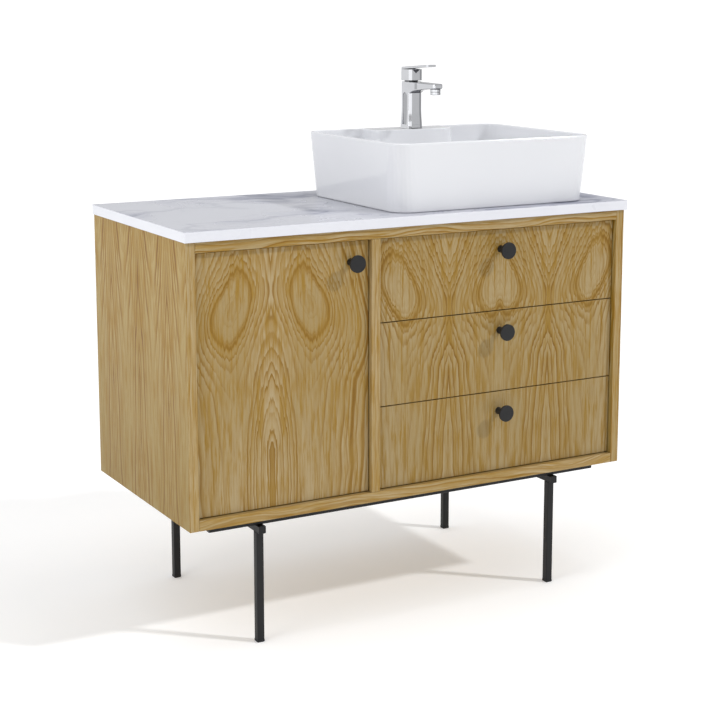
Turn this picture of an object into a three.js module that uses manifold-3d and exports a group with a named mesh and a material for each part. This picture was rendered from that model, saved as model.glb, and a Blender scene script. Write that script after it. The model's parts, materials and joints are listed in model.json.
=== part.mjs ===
// Bathroom vanity: an oak-veneered cabinet with one door and three drawers on a slim steel base,
// a stone-look countertop, a rectangular countertop basin and a single-lever mixer tap.
// Millimetres. +Z is up, the front faces -Y, the origin is on the floor under the middle of the unit.
import * as THREE from 'three';
import { LoftGeometry } from 'three/addons/geometries/LoftGeometry.js';
import { mergeVertices } from 'three/addons/utils/BufferGeometryUtils.js';
import Module from 'manifold-3d';

const wasm = await Module();
wasm.setup();

// ---------------------------------------------------------------- driving dimensions

const seat = 0.3; // gap between two pieces that rest on each other

const carcass = {
  width: 993,
  depth: 471,
  height: 543,
  side: 19, // side panels
  deck: 20, // top and bottom panels
  divider: 19,
  doorBay: 368, // clear width behind the door
  back: 8,
  backInset: 2,
};
const front = { thickness: 19, recess: 10, reveal: 2 };
const slab = { thickness: 20, sideLip: 3.5, frontLip: 6 };
const shelf = { thickness: 18, height: 250, setback: 25 };

const tube = { size: 15, wall: 1.5, corner: 1.8 };
const base = {
  legLength: 216,
  legSpread: 682, // between the centres of the left and right legs
  frontSetback: 25,
  rearSetback: 19,
  crossbarOverrun: 10, // crossbar beyond the legs, front and rear
  railInset: 50, // rail end in from the carcass side
};
const foot = { height: 5, plug: 12, overlap: 0.4 };

const knob = { disc: 34, discThickness: 5, neck: 12, root: 15, projection: 32, inset: 40 };

const hinge = {
  cup: 35,
  cupDepth: 11.5,
  cupWall: 1.5,
  cupSetback: 22.5, // cup centre from the door's edge
  flange: [52, 21, 1.6], // height, width, thickness
  arm: 12,
  plate: 2.5,
  reach: 62, // how far the arm's plate runs back along the side panel
  fromEdge: 95, // hinge centre from the door's top and bottom edge
  bite: 14,
};

// A drawer box: what it leaves free behind it, above it and below it, and its boards.
const box = { rearGap: 40, topGap: 32, frontRise: 14, side: 12, bottom: 8, bottomRise: 10 };
const runner = { thickness: 12.4, height: 38, wall: 1.5, short: 5 };
const slot = { clearance: 28, wall: 12 }; // gap round the trap, and the boards beside it

const basin = {
  width: 475,
  depth: 389,
  height: 137,
  corner: 38,
  flare: 8.5, // how far each side leans in from rim to foot
  rim: 7,
  edge: 2.2, // rounding of the rim
  footEdge: 6,
  floor: 14,
  frontSetback: 19.5, // rim behind the carcass front
  ledgeWidth: 196,
  ledgeDepth: 74,
  ledgeSpread: 34, // how much the ledge widens down to the bowl's floor
};
const drain = { bore: 23, flange: 32, flangeThickness: 2.5, tail: 21, tailWall: 2, belowDeck: 38 };
const plug = { radius: 29, height: 6, stem: 4, stemLength: 30, running: 0.4 };
const wasteNut = { radius: 31, height: 12 };
const trap = { inlet: 16, nut: 25, nutHeight: 22, bottle: 28, length: 122, outletDrop: 46 };
const outletHole = 22;

const tap = {
  width: 33,
  depth: 38,
  corner: 8,
  baseGrowth: 1.5, // the foot of the column is this much wider on each side
  height: 101,
  setback: 47, // tap axis in front of the basin's back rim
  spoutReach: 112,
  spoutRoot: 24,
  spoutTip: 10.7,
  spoutTipWidth: 27,
  hole: 16,
};
const aerator = { radius: 11, bore: 8.5, length: 12.4, reach: 99 };
const collar = { radius: 14.5, height: 1.6, stem: 5, stemLength: 9 };
const lever = {
  gap: 2.3,
  block: 24,
  reach: 103,
  thickness: 4.5,
  rise: 10,
  tipWidth: 24,
  socketRadius: 9,
  socketDepth: 14,
};
const fixing = { stud: 4, washerThickness: 3, nut: 9, nutHeight: 8, tail: 16 };
const hoseHole = 25;

// ---------------------------------------------------------------- places worked out from them

const halfWidth = carcass.width / 2;
const knobReach = knob.projection - front.recess;
const frontY = (knobReach - carcass.depth) / 2; // carcass front, so that the whole depth is centred
const backY = frontY + carcass.depth;
const crossbarZ = foot.height + base.legLength + 2 * seat;
const railZ = crossbarZ + tube.size + seat;
const carcassZ = railZ + tube.size + seat;
const openingZ = carcassZ + carcass.deck;
const deckZ = carcassZ + carcass.height - carcass.deck;
const slabZ = carcassZ + carcass.height + seat;
const slabTopZ = slabZ + slab.thickness;
const basinZ = slabTopZ + seat;
const rimZ = basinZ + basin.height;

const doorBay = [-halfWidth + carcass.side, -halfWidth + carcass.side + carcass.doorBay];
const drawerBay = [doorBay[1] + carcass.divider, halfWidth - carcass.side];
const bayX = (drawerBay[0] + drawerBay[1]) / 2;
const panelY = [frontY + front.recess, frontY + front.recess + front.thickness];
const backPanelY = backY - carcass.backInset - carcass.back;

const basinY = frontY + basin.frontSetback + basin.depth / 2;
const tapY = basinY + basin.depth / 2 - tap.setback;
const ledgeY = basinY + basin.depth / 2 - basin.ledgeDepth;
const drainY = (basinY - basin.depth / 2 + basin.rim + ledgeY) / 2;
const floorZ = basinZ + basin.floor;

// ---------------------------------------------------------------- shaping helpers

const finishes = {
  oak: { color: 0xb8965a, roughness: 0.55, metalness: 0 },
  board: { color: 0xd9d3c7, roughness: 0.6, metalness: 0 },
  stone: { color: 0xe6e7ec, roughness: 0.25, metalness: 0 },
  ceramic: { color: 0xf4f5f7, roughness: 0.08, metalness: 0 },
  chrome: { color: 0xd5d8dc, roughness: 0.07, metalness: 1 },
  blackSteel: { color: 0x1d1d1f, roughness: 0.5, metalness: 0.4 },
  blackKnob: { color: 0x26272a, roughness: 0.45, metalness: 0.5 },
  zinc: { color: 0xa9adb2, roughness: 0.35, metalness: 0.9 },
  whitePlastic: { color: 0xe9e9e6, roughness: 0.4, metalness: 0 },
  blackPlastic: { color: 0x18181a, roughness: 0.6, metalness: 0 },
};

const vanity = new THREE.Group();

/** Adds one sub-part to the vanity. */
function add(name, geometry, finish, x = 0, y = 0, z = 0) {
  const mesh = new THREE.Mesh(geometry, new THREE.MeshStandardMaterial(finishes[finish]));
  mesh.name = name;
  mesh.position.set(x, y, z);
  vanity.add(mesh);
}

/** A closed geometry as a solid that can be joined and cut. */
function solid(geometry) {
  const bare = new THREE.BufferGeometry();
  bare.setAttribute('position', geometry.getAttribute('position'));
  bare.setIndex(geometry.index);
  const merged = mergeVertices(bare, 1e-4);
  return new wasm.Manifold(new wasm.Mesh({
    numProp: 3,
    vertProperties: merged.attributes.position.array,
    triVerts: new Uint32Array(merged.index.array),
  }));
}

/** A solid back as a geometry. */
function shell(made) {
  const { vertProperties, triVerts } = made.getMesh();
  const geometry = new THREE.BufferGeometry();
  geometry.setAttribute('position', new THREE.BufferAttribute(vertProperties, 3));
  geometry.setIndex(new THREE.BufferAttribute(triVerts, 1));
  geometry.computeVertexNormals();
  return geometry;
}

/** Cuts every tool from a body. */
function cut(body, ...tools) {
  return shell(tools.reduce((rest, tool) => rest.subtract(solid(tool)), solid(body)));
}

/** Joins a body with every other geometry. */
function join(body, ...others) {
  return shell(others.reduce((sum, other) => sum.add(solid(other)), solid(body)));
}

/** A rectangular block between two limits on each axis. */
function block([x0, x1], [y0, y1], [z0, z1]) {
  const geometry = new THREE.BoxGeometry(x1 - x0, y1 - y0, z1 - z0);
  return geometry.translate((x0 + x1) / 2, (y0 + y1) / 2, (z0 + z1) / 2);
}

/** A body turned about +Z from [radius, z] points that run up its outside. */
function turned(profile, segments = 32) {
  const points = profile.map(([r, z]) => new THREE.Vector2(r, z));
  return new THREE.LatheGeometry(points, segments).rotateX(Math.PI / 2);
}

/** A plain rod about +Z. */
function rod(radius, z0, z1, segments = 32) {
  return turned([[0, z0], [radius, z0], [radius, z1], [0, z1]], segments);
}

/** Lays a body made along +Z on its side, pointing to -Y (towards the user). */
const facingFront = (geometry) => geometry.rotateX(Math.PI / 2);

/** An outline of [x, y] points drawn upwards by a height. */
function raised(outline, height) {
  const shape = new THREE.Shape(outline.map(([x, y]) => new THREE.Vector2(x, y)));
  return new THREE.ExtrudeGeometry(shape, { depth: height, bevelEnabled: false });
}

/** A ring of points round a rectangle with round corners, level at z. */
function roundedRing(width, depth, radius, z, x = 0, y = 0, steps = 7) {
  const corners = [[1, 1], [-1, 1], [-1, -1], [1, -1]];
  return corners.flatMap(([sx, sy], quarter) => Array.from({ length: steps + 1 }, (_, k) => {
    const angle = (Math.PI / 2) * (quarter + k / steps);
    return new THREE.Vector3(
      x + sx * (width / 2 - radius) + radius * Math.cos(angle),
      y + sy * (depth / 2 - radius) + radius * Math.sin(angle),
      z,
    );
  }));
}

const loft = (rings) => new LoftGeometry(rings, { capStart: true, capEnd: true });

/** A square steel tube along +Z, open at both ends. */
function squareTube(length) {
  const half = tube.size / 2;
  const ring = (reach, radius) => roundedRing(2 * reach, 2 * reach, radius, 0, 0, 0, 3);
  const shape = new THREE.Shape(ring(half, tube.corner));
  const inner = Math.max(tube.corner - tube.wall, 0.2);
  shape.holes.push(new THREE.Path(ring(half - tube.wall, inner).reverse()));
  return new THREE.ExtrudeGeometry(shape, { depth: length, bevelEnabled: false });
}

// ---------------------------------------------------------------- cabinet

function cabinet() {
  const y = [frontY, backY];
  const inner = [-halfWidth + carcass.side + seat, halfWidth - carcass.side - seat];
  const full = [carcassZ, carcassZ + carcass.height];
  const between = [openingZ + seat, deckZ - seat];
  add('side_panel_left', block([-halfWidth, -halfWidth + carcass.side], y, full), 'oak');
  add('side_panel_right', block([halfWidth - carcass.side, halfWidth], y, full), 'oak');
  add('bottom_panel', block(inner, y, [carcassZ, openingZ]), 'oak');

  const wasteHole = rod(drain.bore, deckZ - 1, full[1] + 1).translate(bayX, drainY, 0);
  const tapHole = rod(hoseHole, deckZ - 1, full[1] + 1).translate(bayX, tapY, 0);
  add('top_panel', cut(block(inner, y, [deckZ, full[1]]), wasteHole, tapHole), 'oak');

  const dividerX = [doorBay[1], drawerBay[0]];
  add('divider', block(dividerX, [frontY, backPanelY - seat], between), 'oak');

  const backPanel = block(inner, [backPanelY, backPanelY + carcass.back], between);
  const pipeHole = facingFront(rod(outletHole, -carcass.back, 2 * carcass.back));
  pipeHole.translate(bayX, backPanelY + carcass.back, trapZ() - trap.outletDrop);
  add('back_panel', cut(backPanel, pipeHole), 'board');

  const shelfX = [doorBay[0] + seat, doorBay[1] - seat];
  const shelfY = [panelY[1] + shelf.setback, backPanelY - seat];
  const shelfZ = openingZ + shelf.height;
  add('shelf', block(shelfX, shelfY, [shelfZ, shelfZ + shelf.thickness]), 'board');
}

// ---------------------------------------------------------------- steel base

function steelBase() {
  const legY = {
    front: frontY + base.frontSetback + tube.size / 2,
    rear: backY - base.rearSetback - tube.size / 2,
  };
  const railLength = carcass.width - 2 * base.railInset;
  const crossbarLength = legY.rear - legY.front + tube.size + 2 * base.crossbarOverrun;
  for (const [end, y] of Object.entries(legY)) {
    const rail = squareTube(railLength).rotateY(Math.PI / 2);
    add(`base_rail_${end}`, rail, 'blackSteel', -railLength / 2, y, railZ + tube.size / 2);
  }
  for (const [side, sign] of [['left', -1], ['right', 1]]) {
    const x = (sign * base.legSpread) / 2;
    const crossbar = squareTube(crossbarLength).rotateX(-Math.PI / 2);
    const y0 = legY.front - tube.size / 2 - base.crossbarOverrun;
    add(`base_crossbar_${side}`, crossbar, 'blackSteel', x, y0, crossbarZ + tube.size / 2);
    for (const [end, y] of Object.entries(legY)) {
      add(`leg_${end}_${side}`, squareTube(base.legLength), 'blackSteel', x, y, foot.height + seat);
      add(`foot_${end}_${side}`, legFoot(), 'blackPlastic', x, y, 0);
    }
  }
}

/** A plastic glide: a pad under the tube and a plug that fills its end. */
function legFoot() {
  const pad = tube.size + 2 * foot.overlap;
  const bore = tube.size - 2 * tube.wall - 2 * seat;
  const rings = [
    roundedRing(pad - 2, pad - 2, tube.corner, 0, 0, 0, 3),
    roundedRing(pad, pad, tube.corner, 1, 0, 0, 3),
    roundedRing(pad, pad, tube.corner, foot.height, 0, 0, 3),
  ];
  const stub = block([-bore / 2, bore / 2], [-bore / 2, bore / 2], [1, foot.height + foot.plug]);
  return join(loft(rings), stub);
}

// ---------------------------------------------------------------- countertop, basin and waste

function countertop() {
  const x = [-halfWidth - slab.sideLip, halfWidth + slab.sideLip];
  const z = [slabZ, slabTopZ];
  const wasteHole = rod(drain.bore, z[0] - 1, z[1] + 1).translate(bayX, drainY, 0);
  const tapHole = rod(hoseHole, z[0] - 1, z[1] + 1).translate(bayX, tapY, 0);
  add('countertop', cut(block(x, [frontY - slab.frontLip, backY], z), wasteHole, tapHole), 'stone');
}

/** The basin's outside, from its foot to its rim, both rounded. */
function basinOutside() {
  const rings = [];
  const ring = (z, inset) => {
    const lean = basin.flare * (1 - z / basin.height) + inset;
    const radius = basin.corner + 0.5 * basin.flare * (1 - z / basin.height) - 0.5 * inset;
    rings.push(roundedRing(basin.width - 2 * lean, basin.depth - 2 * lean, radius, z));
  };
  const turn = (k, steps) => (Math.PI / 2) * (k / steps);
  for (let k = 0; k <= 4; k++) {
    const a = turn(k, 4);
    ring(basin.footEdge * (1 - Math.cos(a)), basin.footEdge * (1 - Math.sin(a)));
  }
  for (let k = 0; k <= 3; k++) {
    const a = turn(k, 3);
    ring(basin.height - basin.edge * (1 - Math.sin(a)), basin.edge * (1 - Math.cos(a)));
  }
  return loft(rings);
}

/** The hollow of the bowl: a soft dish whose sides steepen up to the rim. */
function bowlHollow() {
  const steepness = 3.4;
  const steps = 11;
  const width = basin.width - 2 * basin.rim;
  const depth = basin.depth - 2 * basin.rim;
  const corner = basin.corner - basin.rim + 3;
  const start = 2 * drain.flange + 6;
  const drop = drainY - basinY;
  const rings = [];
  for (let k = 0; k <= steps; k++) {
    const angle = (Math.PI / 2) * (k / steps);
    const out = Math.sin(angle) ** (2 / steepness);
    const up = 1 - Math.cos(angle) ** (2 / steepness);
    const mix = THREE.MathUtils.lerp;
    const z = mix(basin.floor, basin.height, k === steps ? 1 : up);
    const radius = mix(start / 2 - 0.5, corner, out ** 6);
    const softRadius = Math.min(radius + 60 * out * (1 - out ** 5), mix(start, depth, out) / 2 - 0.5);
    rings.push(roundedRing(mix(start, width, out), mix(start, depth, out), softRadius, z,
      0, mix(drop, 0, out)));
  }
  rings.push(roundedRing(width, depth, corner, basin.height + 5));
  return loft(rings);
}

/** The tap ledge left standing in the bowl, wider towards the floor. */
function ledgeBlock() {
  const rings = [];
  const steps = 6;
  for (let k = 0; k <= steps; k++) {
    const down = 1 - k / steps;
    const spread = basin.ledgeSpread * down ** 2;
    const reach = basin.ledgeDepth + spread;
    const width = basin.ledgeWidth + 2 * spread;
    const z = THREE.MathUtils.lerp(0, basin.height + 6, k / steps);
    rings.push(roundedRing(width, 2 * reach, 30, z, 0, basin.depth / 2, 6));
  }
  return loft(rings);
}

function countertopBasin() {
  const ledge = ledgeBlock();
  const hollow = shell(solid(bowlHollow()).subtract(solid(ledge)));
  const localTapY = tapY - basinY;
  const localDrainY = drainY - basinY;
  const underside = block(
    [-basin.ledgeWidth / 2 + 24, basin.ledgeWidth / 2 - 24],
    [localTapY - tap.depth / 2, localTapY + tap.depth / 2],
    [-1, basin.height - basin.floor],
  );
  const tapHole = rod(tap.hole, 0, basin.height + 1).translate(0, localTapY, 0);
  const wasteHole = rod(drain.bore, -1, basin.floor + 1).translate(0, localDrainY, 0);
  add('basin', cut(basinOutside(), hollow, underside, tapHole, wasteHole), 'ceramic',
    bayX, basinY, basinZ);
}

const wasteEndZ = () => deckZ - drain.belowDeck;
const trapZ = () => wasteEndZ() - seat;

function waste() {
  const top = floorZ + seat;
  const inner = drain.tail - drain.tailWall;
  const body = turned([
    [inner, wasteEndZ()],
    [drain.tail, wasteEndZ()],
    [drain.tail, top],
    [drain.flange, top],
    [drain.flange - 1, top + drain.flangeThickness],
    [inner, top + drain.flangeThickness - 0.5],
    [inner, wasteEndZ()],
  ]);
  const bridgeZ = floorZ - 24;
  const bridge = block([-inner - 0.5, inner + 0.5], [-5, 5], [bridgeZ, bridgeZ + 8]);
  const guide = rod(plug.stem + plug.running, bridgeZ - 1, bridgeZ + 9);
  const withGuide = solid(body).add(solid(bridge)).subtract(solid(guide));
  add('waste_body', shell(withGuide), 'chrome', bayX, drainY, 0);

  const plugZ = top + drain.flangeThickness + seat;
  const cap = turned([
    [0, plugZ - plug.stemLength],
    [plug.stem, plugZ - plug.stemLength],
    [plug.stem, plugZ],
    [plug.radius - 1, plugZ],
    [plug.radius, plugZ + 1],
    [plug.radius - 2, plugZ + 3],
    [plug.radius * 0.6, plugZ + plug.height - 1],
    [0, plugZ + plug.height],
  ]);
  add('waste_plug', cap, 'chrome', bayX, drainY, 0);

  const bore = drain.tail + seat;
  const nutTop = deckZ - seat;
  const nut = turned([
    [bore, nutTop - wasteNut.height],
    [wasteNut.radius - 3, nutTop - wasteNut.height],
    [wasteNut.radius, nutTop - wasteNut.height + 3],
    [wasteNut.radius, nutTop],
    [bore, nutTop],
    [bore, nutTop - wasteNut.height],
  ]);
  add('waste_nut', nut, 'blackPlastic', bayX, drainY, 0);
}

/** A bottle trap hung on the waste, with its outlet pipe to the wall. */
function bottleTrap() {
  const top = trapZ();
  const neckEnd = top - trap.nutHeight;
  const bottom = top - trap.length;
  const bottle = turned([
    [0, bottom],
    [trap.bottle - 6, bottom],
    [trap.bottle, bottom + 6],
    [trap.bottle, bottom + 24],
    [trap.bottle - 3, bottom + 26],
    [trap.bottle - 3, neckEnd - 8],
    [trap.inlet, neckEnd],
    [trap.nut, neckEnd],
    [trap.nut, top - 3],
    [trap.nut - 3, top],
    [0, top],
  ], 28);
  const outlet = facingFront(rod(trap.inlet, drainY - backY, 0, 28));
  outlet.translate(0, 0, top - trap.outletDrop);
  add('bottle_trap', join(bottle, outlet), 'whitePlastic', bayX, drainY, 0);
}

// ---------------------------------------------------------------- tap

/** The spout: deep at the column, thin and rounded at its tip, flat on top. */
function spout() {
  const half = tap.width / 2;
  const tip = -tap.spoutReach;
  const side = new THREE.Shape();
  side.moveTo(0, tap.height);
  side.lineTo(0, tap.height - tap.spoutRoot - 8);
  side.quadraticCurveTo(-tap.depth / 2, tap.height - tap.spoutRoot, -tap.depth / 2 - 10,
    tap.height - tap.spoutRoot + 3);
  side.lineTo(tip + 30, tap.height - tap.spoutTip - 1);
  side.lineTo(tip, tap.height - tap.spoutTip);
  side.lineTo(tip, tap.height);
  const slice = new THREE.ExtrudeGeometry(side, { depth: tap.width, bevelEnabled: false });
  // The outline is drawn in (y, z) and pushed along x.
  slice.applyMatrix4(new THREE.Matrix4().set(
    0, 0, 1, -half,
    1, 0, 0, 0,
    0, 1, 0, 0,
    0, 0, 0, 1,
  ));
  const plan = new THREE.Shape();
  const tipHalf = tap.spoutTipWidth / 2;
  plan.moveTo(half, 1);
  plan.lineTo(-half, 1);
  plan.lineTo(-tipHalf, tip + 10);
  plan.quadraticCurveTo(-tipHalf, tip, 0, tip);
  plan.quadraticCurveTo(tipHalf, tip, tipHalf, tip + 10);
  const outline = new THREE.ExtrudeGeometry(plan, { depth: tap.height + 2, bevelEnabled: false });
  return solid(slice).intersect(solid(outline));
}

function mixerTap() {
  const z = rimZ + seat;
  const grow = 2 * tap.baseGrowth;
  const column = loft([
    roundedRing(tap.width + grow, tap.depth + grow, tap.corner, 0),
    roundedRing(tap.width, tap.depth, tap.corner, tap.height * 0.45),
    roundedRing(tap.width, tap.depth, tap.corner, tap.height),
  ]);
  const studHole = rod(fixing.stud + seat, -1, fixing.tail);
  const body = solid(column).add(spout()).subtract(solid(studHole));
  add('tap_body', shell(body), 'chrome', bayX, tapY, z);

  const spoutUnder = tap.height - tap.spoutTip - 1.5;
  const nozzle = turned([
    [0, spoutUnder - seat - 1.5],
    [aerator.bore, spoutUnder - seat - 1.5],
    [aerator.bore, spoutUnder - aerator.length],
    [aerator.radius - 0.8, spoutUnder - aerator.length],
    [aerator.radius, spoutUnder - aerator.length + 0.8],
    [aerator.radius, spoutUnder - seat],
    [0, spoutUnder - seat],
  ]);
  add('aerator', nozzle, 'chrome', bayX, tapY - aerator.reach, z);

  const spindle = turned([
    [0, seat],
    [collar.radius, seat],
    [collar.radius, collar.height],
    [collar.stem, collar.height],
    [collar.stem, collar.height + collar.stemLength],
    [0, collar.height + collar.stemLength],
  ]);
  add('tap_spindle', spindle, 'blackPlastic', bayX, tapY, z + tap.height);
  add('tap_handle', tapHandle(), 'chrome', bayX, tapY, z + tap.height + lever.gap);

  const underLedge = -basin.floor - seat;
  const washerEnd = underLedge - fixing.washerThickness;
  const nutEnd = washerEnd - fixing.nutHeight;
  const stud = turned([
    [0, nutEnd - fixing.tail],
    [fixing.stud, nutEnd - fixing.tail],
    [fixing.stud, nutEnd],
    [fixing.nut, nutEnd],
    [fixing.nut, washerEnd],
    [tap.depth / 2 - 1, washerEnd],
    [tap.depth / 2 - 1, underLedge],
    [fixing.stud, underLedge],
    [fixing.stud, fixing.tail - 1],
    [0, fixing.tail - 1],
  ], 24);
  add('tap_fixing', stud, 'zinc', bayX, tapY, rimZ);
}

/** The handle: a block over the cartridge and a flat lever that rises towards the user. */
function tapHandle() {
  const half = tap.width / 2;
  const body = loft([
    roundedRing(tap.width, tap.depth, tap.corner, 0),
    roundedRing(tap.width, tap.depth, tap.corner, lever.block),
  ]);
  const rear = tap.depth / 2;
  const length = lever.reach + rear;
  const plan = new THREE.Shape();
  const tipHalf = lever.tipWidth / 2;
  plan.moveTo(-half, -tap.corner);
  plan.quadraticCurveTo(-half, 0, -half + tap.corner, 0);
  plan.lineTo(half - tap.corner, 0);
  plan.quadraticCurveTo(half, 0, half, -tap.corner);
  plan.lineTo(half, -tap.depth);
  plan.lineTo(tipHalf, -length + 5);
  plan.quadraticCurveTo(tipHalf, -length, tipHalf - 5, -length);
  plan.lineTo(-tipHalf + 5, -length);
  plan.quadraticCurveTo(-tipHalf, -length, -tipHalf, -length + 5);
  plan.lineTo(-half, -tap.depth);
  const blade = new THREE.ExtrudeGeometry(plan, { depth: lever.thickness, bevelEnabled: false });
  blade.rotateX(-Math.atan2(lever.rise, length));
  blade.translate(0, rear, lever.block - 0.6);
  const socket = rod(lever.socketRadius, -1, lever.socketDepth);
  return shell(solid(body).add(solid(blade)).subtract(solid(socket)));
}

// ---------------------------------------------------------------- door and drawers

/** A turned knob: round disc on a short neck, its root at y = 0, pointing to -Y. */
function knobShape() {
  const disc = knob.disc / 2;
  const discStart = knob.projection - knob.discThickness;
  return facingFront(turned([
    [0, seat],
    [knob.root / 2, seat],
    [knob.neck / 2, knob.projection * 0.45],
    [knob.neck / 2, discStart],
    [disc - 0.8, discStart],
    [disc, discStart + 0.8],
    [disc, knob.projection - 0.8],
    [disc - 0.8, knob.projection],
    [0, knob.projection],
  ]));
}

function door() {
  const x = [doorBay[0] + front.reveal, doorBay[1] - front.reveal];
  const z = [openingZ + front.reveal, deckZ - front.reveal];
  const cupX = x[0] + hinge.cupSetback;
  const heights = { lower: z[0] + hinge.fromEdge, upper: z[1] - hinge.fromEdge };
  const cupHole = (height) => facingFront(rod(hinge.cup / 2 + seat, 0, hinge.cupDepth + seat))
    .translate(cupX, panelY[1], height);
  const edges = Object.values(heights).map(cupHole);
  add('door_panel', cut(block(x, panelY, z), ...edges), 'oak');
  add('door_knob', knobShape(), 'blackKnob', x[1] - knob.inset, panelY[0], z[1] - knob.inset);
  for (const [end, height] of Object.entries(heights)) {
    add(`hinge_cup_${end}`, hingeCup(), 'zinc', cupX, panelY[1], height);
    add(`hinge_arm_${end}`, hingeArm(cupX), 'zinc', doorBay[0] + seat, panelY[1], height);
  }
}

/** The pressed cup that sits in the door's back, with its screw flange. */
function hingeCup() {
  const [height, width, thickness] = hinge.flange;
  const cup = facingFront(rod(hinge.cup / 2, -seat - thickness, hinge.cupDepth, 28));
  const flange = block([-width / 2, width / 2], [seat, seat + thickness], [-height / 2, height / 2]);
  const bowl = facingFront(rod(hinge.cup / 2 - hinge.cupWall, -9, hinge.cupDepth - hinge.cupWall, 28));
  return shell(solid(cup).add(solid(flange)).subtract(solid(bowl)));
}

/** The hinge arm: a plate on the side panel, bent towards the cup. */
function hingeArm(cupX) {
  const start = hinge.flange[2] + 2 * seat;
  const nose = cupX - doorBay[0] - seat;
  const outline = [
    [0, start + hinge.bite + hinge.reach],
    [0, start + hinge.bite],
    [nose - 8, start],
    [nose + 8, start],
    [nose + 8, start + 5],
    [nose - 4, start + hinge.bite],
    [nose - 10, start + hinge.bite + 6],
    [hinge.plate, start + hinge.bite + 10],
    [hinge.plate, start + hinge.bite + hinge.reach],
  ];
  return raised(outline, hinge.arm).translate(0, 0, -hinge.arm / 2);
}

/** The plan outline of a drawer's back: straight, or folded round the trap's slot. */
function backOutline(half, end, well) {
  const start = end - box.side;
  if (!well) return [[-half, start], [half, start], [half, end], [-half, end]];
  const { inner, front: wellFront } = well;
  const outer = inner + slot.wall;
  return [
    [-half, start], [-outer, start], [-outer, wellFront - slot.wall], [outer, wellFront - slot.wall],
    [outer, start], [half, start], [half, end], [inner, end],
    [inner, wellFront], [-inner, wellFront], [-inner, end], [-half, end],
  ];
}

/** The plan outline of a drawer's bottom, notched where the back folds in. */
function bottomOutline(half, start, end, well) {
  if (!well) return [[-half, start], [half, start], [half, end], [-half, end]];
  const notch = well.inner + slot.wall + seat;
  const notchEnd = well.front - slot.wall - seat;
  return [
    [-half, start], [half, start], [half, end], [notch, end],
    [notch, notchEnd], [-notch, notchEnd], [-notch, end], [-half, end],
  ];
}

function drawer(name, z, well) {
  const reveal = front.reveal;
  const [x0, x1] = drawerBay;
  add(`drawer_${name}_front`, block([x0 + reveal, x1 - reveal], panelY, z), 'oak');
  add(`drawer_${name}_knob`, knobShape(), 'blackKnob', bayX, panelY[0], z[1] - knob.inset);

  const halfBay = (x1 - x0) / 2;
  const outer = halfBay - runner.thickness - 2 * seat;
  const inner = outer - box.side - seat;
  const y0 = panelY[1] + seat;
  const y1 = backPanelY - box.rearGap;
  const boxZ = z[0] + box.frontRise;
  const boxHeight = z[1] - box.topGap - boxZ;
  const runnerZ = boxZ + (boxHeight - runner.height) / 2;
  const sideZ = [boxZ, boxZ + boxHeight];
  for (const [side, sign] of [['left', -1], ['right', 1]]) {
    const edges = [sign * outer, sign * (outer - box.side)].sort((a, b) => a - b);
    add(`drawer_${name}_side_${side}`, block(edges, [y0, y1], sideZ), 'board', bayX);
    const rail = runnerShape(sign, y1 - y0 - runner.short);
    add(`runner_${name}_${side}`, rail, 'zinc', bayX + sign * (halfBay - seat), y0, runnerZ);
  }
  const back = raised(backOutline(inner, y1, well), boxHeight);
  add(`drawer_${name}_back`, back, 'board', bayX, 0, boxZ);
  const bottomEnd = y1 - box.side - seat;
  const bottom = raised(bottomOutline(inner, y0, bottomEnd, well), box.bottom);
  add(`drawer_${name}_bottom`, bottom, 'board', bayX, 0, boxZ + box.bottomRise);
}

/** A channel rail fixed to the cabinet, open towards the drawer. */
function runnerShape(sign, length) {
  const { thickness, height, wall } = runner;
  const outline = [
    [0, 0], [thickness, 0], [thickness, wall], [wall, wall],
    [wall, height - wall], [thickness, height - wall], [thickness, height], [0, height],
  ];
  const channel = raised(outline, length).rotateX(Math.PI / 2).translate(0, length, 0);
  return sign < 0 ? channel : channel.rotateZ(Math.PI).translate(0, length, 0);
}

function drawers() {
  const names = ['bottom', 'middle', 'top'];
  const pitch = (deckZ - openingZ) / names.length;
  const well = { inner: trap.bottle + slot.clearance, front: drainY - trap.bottle - slot.clearance };
  names.forEach((name, k) => {
    const low = openingZ + k * pitch + (k === 0 ? front.reveal : front.reveal / 2);
    const high = openingZ + (k + 1) * pitch - (name === 'top' ? front.reveal : front.reveal / 2);
    drawer(name, [low, high], name === 'top' ? well : null);
  });
}

cabinet();
steelBase();
countertop();
countertopBasin();
waste();
bottleTrap();
mixerTap();
door();
drawers();

export default vanity;
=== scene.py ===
"""Looks of the vessel sink on its oak vanity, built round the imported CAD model."""

import json
import math

import bmesh
import bpy
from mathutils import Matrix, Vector


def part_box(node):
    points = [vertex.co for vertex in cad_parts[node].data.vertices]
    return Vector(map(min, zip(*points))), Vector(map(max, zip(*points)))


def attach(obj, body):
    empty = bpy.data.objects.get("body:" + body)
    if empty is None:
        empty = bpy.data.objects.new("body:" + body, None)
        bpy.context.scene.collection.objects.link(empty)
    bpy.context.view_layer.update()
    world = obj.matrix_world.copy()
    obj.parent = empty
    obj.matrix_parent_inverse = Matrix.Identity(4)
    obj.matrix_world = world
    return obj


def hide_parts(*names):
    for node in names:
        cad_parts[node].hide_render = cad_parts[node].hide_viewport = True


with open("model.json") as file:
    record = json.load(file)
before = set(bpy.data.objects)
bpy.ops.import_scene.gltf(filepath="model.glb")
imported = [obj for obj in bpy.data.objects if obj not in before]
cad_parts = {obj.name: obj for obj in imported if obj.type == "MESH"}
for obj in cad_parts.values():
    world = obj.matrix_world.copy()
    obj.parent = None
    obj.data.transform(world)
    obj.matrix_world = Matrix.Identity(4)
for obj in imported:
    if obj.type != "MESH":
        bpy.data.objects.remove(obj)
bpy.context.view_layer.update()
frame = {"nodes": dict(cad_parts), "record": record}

NODES = frame["nodes"]
BODY_OF = {
    node: body
    for body, members in frame["record"]["behaviour"]["bodies"].items()
    for node in members
}
SIDES = ("left", "right")
DRAWERS = ("bottom", "middle", "top")


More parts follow.
